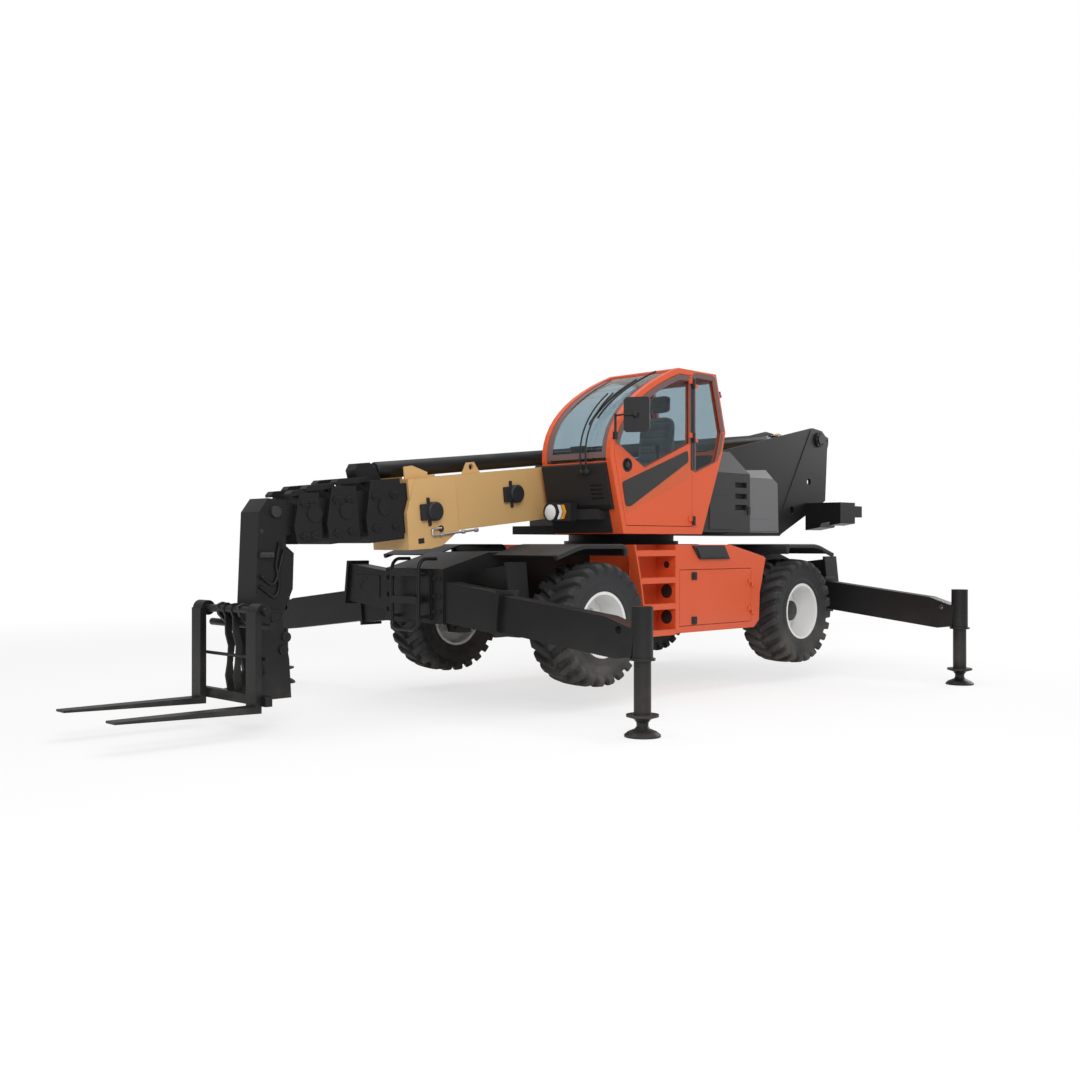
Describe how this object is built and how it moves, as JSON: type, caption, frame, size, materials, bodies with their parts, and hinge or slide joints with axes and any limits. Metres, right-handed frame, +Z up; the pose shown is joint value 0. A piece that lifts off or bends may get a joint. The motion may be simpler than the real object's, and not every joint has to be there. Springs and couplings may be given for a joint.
{
  "type": "rotating telehandler",
  "caption": "Rotating telescopic handler on extended outriggers, with a slewing cab and boom, steered wheels, hinged doors and hood, and a tilting fork carriage.",
  "frame": {"origin": "middle of the length and width on the ground under the foot pads", "axes": "+X forward towards the forks, +Y left, +Z up"},
  "size_m": [9.64, 5.7098, 3.27],
  "materials": {
    "orange_paint": "gloss",
    "gold_paint": "satin",
    "black_paint": "satin",
    "white_paint": "satin",
    "dark_cast": "matte",
    "chrome_rod": "polished",
    "grey_plastic": "matte",
    "black_plastic": "matte",
    "glass": "clear",
    "seat_fabric": "woven",
    "tyre": "matte"
  },
  "bodies": {
    "chassis": {"frame": "black_paint", "axles": "dark_cast", "fenders": "black_plastic", "left_box": "orange_paint", "right_box": "orange_paint", "left_steps": "orange_paint", "box_trim": "grey_plastic", "front_ladder": "black_paint"},
    "box_door": {"box_door": "orange_paint"},
    "turret": {"turret_frame": "black_paint", "counterweight": "black_paint", "side_covers": "grey_plastic", "rear_cover": "grey_plastic", "engine_block": "dark_cast", "cab_shell": "orange_paint", "cab_glass": "glass", "cab_interior": "grey_plastic", "cab_seat": "seat_fabric", "nose_panel": "black_plastic", "lamps_mirrors": "black_plastic"},
    "cab_door": {"door_panel": "orange_paint", "door_glass": "glass"},
    "hood": {"engine_hood": "grey_plastic"},
    "boom": {"boom_base": "gold_paint", "boom_discs": "black_plastic", "extension_rod": "chrome_rod"},
    "boom_stage_2": {"boom_2": "black_paint", "extension_barrel": "black_paint"},
    "boom_stage_3": {"boom_3": "black_paint"},
    "boom_stage_4": {"boom_4": "black_paint"},
    "boom_stage_5": {"boom_5": "black_paint"},
    "lift_barrel": {"lift_barrel": "black_paint"},
    "lift_rod": {"lift_rod": "chrome_rod"},
    "carriage": {"carriage": "black_paint", "forks": "black_paint"},
    "knuckle_fl": {"knuckle_fl": "dark_cast"},
    "wheel_fl": {"rim_fl": "white_paint", "tyre_fl": "tyre"},
    "beam_fl": {"beam_fl": "black_paint"},
    "leg_fl": {"leg_fl": "black_paint"},
    "knuckle_fr": {"knuckle_fr": "dark_cast"},
    "wheel_fr": {"rim_fr": "white_paint", "tyre_fr": "tyre"},
    "beam_fr": {"beam_fr": "black_paint"},
    "leg_fr": {"leg_fr": "black_paint"},
    "knuckle_rl": {"knuckle_rl": "dark_cast"},
    "wheel_rl": {"rim_rl": "white_paint", "tyre_rl": "tyre"},
    "beam_rl": {"beam_rl": "black_paint"},
    "leg_rl": {"leg_rl": "black_paint"},
    "knuckle_rr": {"knuckle_rr": "dark_cast"},
    "wheel_rr": {"rim_rr": "white_paint", "tyre_rr": "tyre"},
    "beam_rr": {"beam_rr": "black_paint"},
    "leg_rr": {"leg_rr": "black_paint"}
  },
  "joints": [
    {"name": "slew", "type": "hinge", "parent": "chassis", "child": "turret", "pos_m": [-1.2, 0, 1.582], "axis": [0, 0, 1], "continuous": true},
    {"name": "steer_fl", "type": "hinge", "parent": "chassis", "child": "knuckle_fl", "pos_m": [0.45, 0.88, 0.765], "axis": [0, 0, 1], "range_deg": [-28, 28]},
    {"name": "spin_fl", "type": "hinge", "parent": "knuckle_fl", "child": "wheel_fl", "pos_m": [0.45, 1.0375, 0.765], "axis": [0, 1, 0], "continuous": true},
    {"name": "draw_fl", "type": "slide", "parent": "chassis", "child": "beam_fl", "axis": [-0.05, 0.9923, -0.1132], "range_m": [-1.379, 0]},
    {"name": "jack_fl", "type": "slide", "parent": "beam_fl", "child": "leg_fl", "axis": [0, 0, -1], "range_m": [-0.3, 0]},
    {"name": "steer_fr", "type": "hinge", "parent": "chassis", "child": "knuckle_fr", "pos_m": [0.45, -0.88, 0.765], "axis": [0, 0, 1], "range_deg": [-28, 28]},
    {"name": "spin_fr", "type": "hinge", "parent": "knuckle_fr", "child": "wheel_fr", "pos_m": [0.45, -1.0375, 0.765], "axis": [0, 1, 0], "continuous": true},
    {"name": "draw_fr", "type": "slide", "parent": "chassis", "child": "beam_fr", "axis": [0.05, -0.9923, -0.1132], "range_m": [-1.379, 0]},
    {"name": "jack_fr", "type": "slide", "parent": "beam_fr", "child": "leg_fr", "axis": [0, 0, -1], "range_m": [-0.3, 0]},
    {"name": "steer_rl", "type": "hinge", "parent": "chassis", "child": "knuckle_rl", "pos_m": [-2.85, 0.88, 0.765], "axis": [0, 0, 1], "range_deg": [-28, 28]},
    {"name": "spin_rl", "type": "hinge", "parent": "knuckle_rl", "child": "wheel_rl", "pos_m": [-2.85, 1.0375, 0.765], "axis": [0, 1, 0], "continuous": true},
    {"name": "draw_rl", "type": "slide", "parent": "chassis", "child": "beam_rl", "axis": [0, 0.9936, -0.1132], "range_m": [-1.51, 0]},
    {"name": "jack_rl", "type": "slide", "parent": "beam_rl", "child": "leg_rl", "axis": [0, 0, -1], "range_m": [-0.3, 0]},
    {"name": "steer_rr", "type": "hinge", "parent": "chassis", "child": "knuckle_rr", "pos_m": [-2.85, -0.88, 0.765], "axis": [0, 0, 1], "range_deg": [-28, 28]},
    {"name": "spin_rr", "type": "hinge", "parent": "knuckle_rr", "child": "wheel_rr", "pos_m": [-2.85, -1.0375, 0.765], "axis": [0, 1, 0], "continuous": true},
    {"name": "draw_rr", "type": "slide", "parent": "chassis", "child": "beam_rr", "axis": [0, -0.9936, -0.1132], "range_m": [-1.51, 0]},
    {"name": "jack_rr", "type": "slide", "parent": "beam_rr", "child": "leg_rr", "axis": [0, 0, -1], "range_m": [-0.3, 0]},
    {"name": "box_door_swing", "type": "hinge", "parent": "chassis", "child": "box_door", "pos_m": [-1.946, 1.214, 0.975], "axis": [0, 0, 1], "range_deg": [0, 110]},
    {"name": "cab_door_swing", "type": "hinge", "parent": "turret", "child": "cab_door", "pos_m": [-0.91, 1.236, 2.4], "axis": [0, 0, 1], "range_deg": [0, 110]},
    {"name": "hood_lift", "type": "hinge", "parent": "turret", "child": "hood", "pos_m": [-2.55, -0.386, 2.44], "axis": [-1, 0, 0], "range_deg": [0, 60]},
    {"name": "boom_lift", "type": "hinge", "parent": "turret", "child": "boom", "pos_m": [-4.59, 0, 2.845], "axis": [0, -1, 0], "range_deg": [0, 80]},
    {"name": "extend_2", "type": "slide", "parent": "boom", "child": "boom_stage_2", "axis": [0.9945, 0, -0.1045], "range_m": [0, 4.9]},
    {"name": "extend_3", "type": "slide", "parent": "boom_stage_2", "child": "boom_stage_3", "axis": [0.9945, 0, -0.1045], "range_m": [0, 4.9]},
    {"name": "extend_4", "type": "slide", "parent": "boom_stage_3", "child": "boom_stage_4", "axis": [0.9945, 0, -0.1045], "range_m": [0, 4.9]},
    {"name": "extend_5", "type": "slide", "parent": "boom_stage_4", "child": "boom_stage_5", "axis": [0.9945, 0, -0.1045], "range_m": [0, 4.9]},
    {"name": "lift_barrel_swing", "type": "hinge", "parent": "turret", "child": "lift_barrel", "pos_m": [-4.282, 0, 1.999], "axis": [0, -1, 0], "range_deg": [0, 72.01]},
    {"name": "lift_rod_stroke", "type": "slide", "parent": "lift_barrel", "child": "lift_rod", "axis": [0.9992, 0, -0.0409], "range_m": [0, 1.1274]},
    {"name": "carriage_tilt", "type": "hinge", "parent": "boom_stage_5", "child": "carriage", "pos_m": [3.3, 0, 0.91], "axis": [0, 1, 0], "range_deg": [-20, 90]}
  ],
  "couplings": [
    {"joint": "steer_fr", "follows": "steer_fl", "ratio": 1},
    {"joint": "steer_rr", "follows": "steer_rl", "ratio": 1},
    {"joint": "extend_3", "follows": "extend_2", "ratio": 1},
    {"joint": "extend_4", "follows": "extend_2", "ratio": 1},
    {"joint": "extend_5", "follows": "extend_2", "ratio": 1},
    {"joint": "lift_barrel_swing", "follows": "boom_lift", "ratio": 0.90015},
    {"joint": "lift_rod_stroke", "follows": "boom_lift", "m_per_rad": 0.80747}
  ]
}
